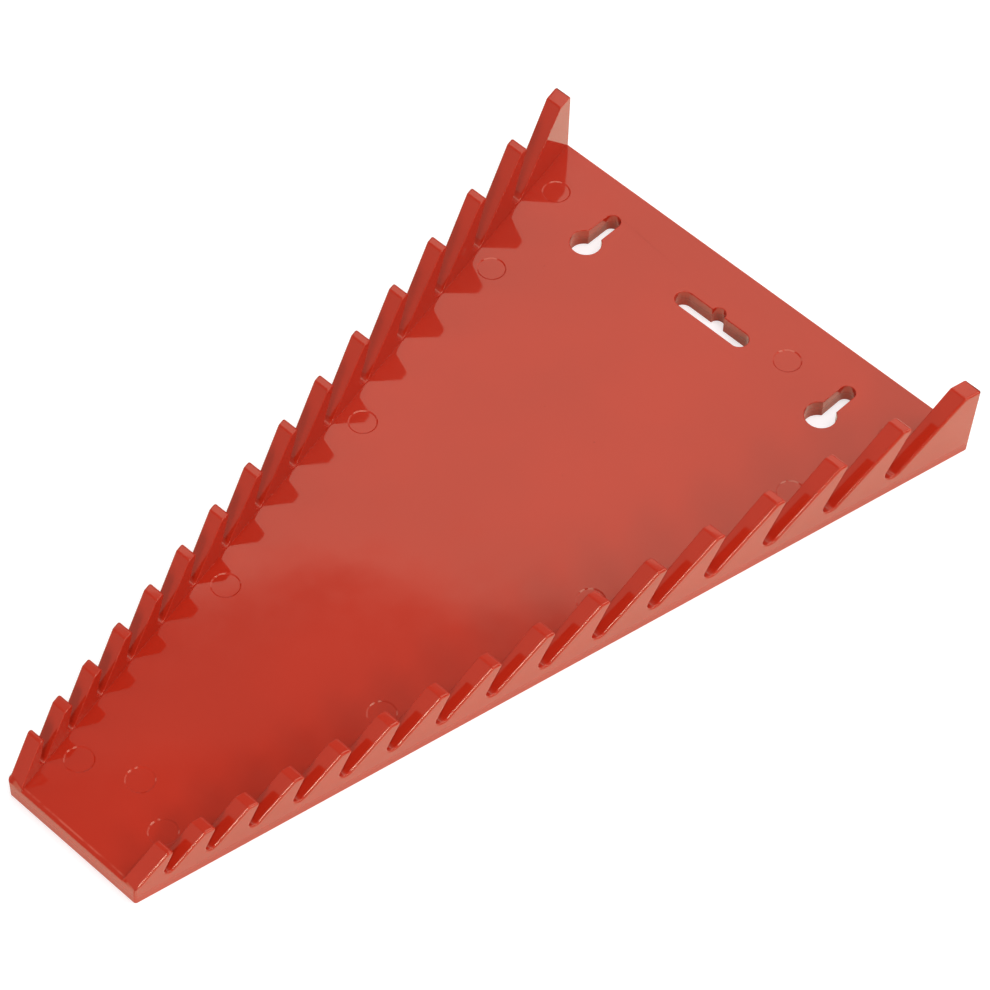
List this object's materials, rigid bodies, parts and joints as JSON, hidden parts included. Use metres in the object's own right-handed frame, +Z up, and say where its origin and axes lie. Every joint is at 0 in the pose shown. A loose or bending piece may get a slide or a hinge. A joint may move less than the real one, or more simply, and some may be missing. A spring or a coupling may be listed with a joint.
{
  "type": "wrench rack",
  "caption": "Tapered red plastic wrench rack with two saw-toothed side walls, a pair of keyholes and a hang slot at its wide end.",
  "frame": {"origin": "centre of the box round the rack, on the plane of its underside", "axes": "+X across the rack, +Y from the small end to the wide end, +Z up from the back towards the teeth"},
  "size_m": [0.1938, 0.3206, 0.032],
  "materials": {
    "red_plastic": "gloss"
  },
  "bodies": {
    "root": {"rack": "red_plastic"}
  },
  "joints": []
}
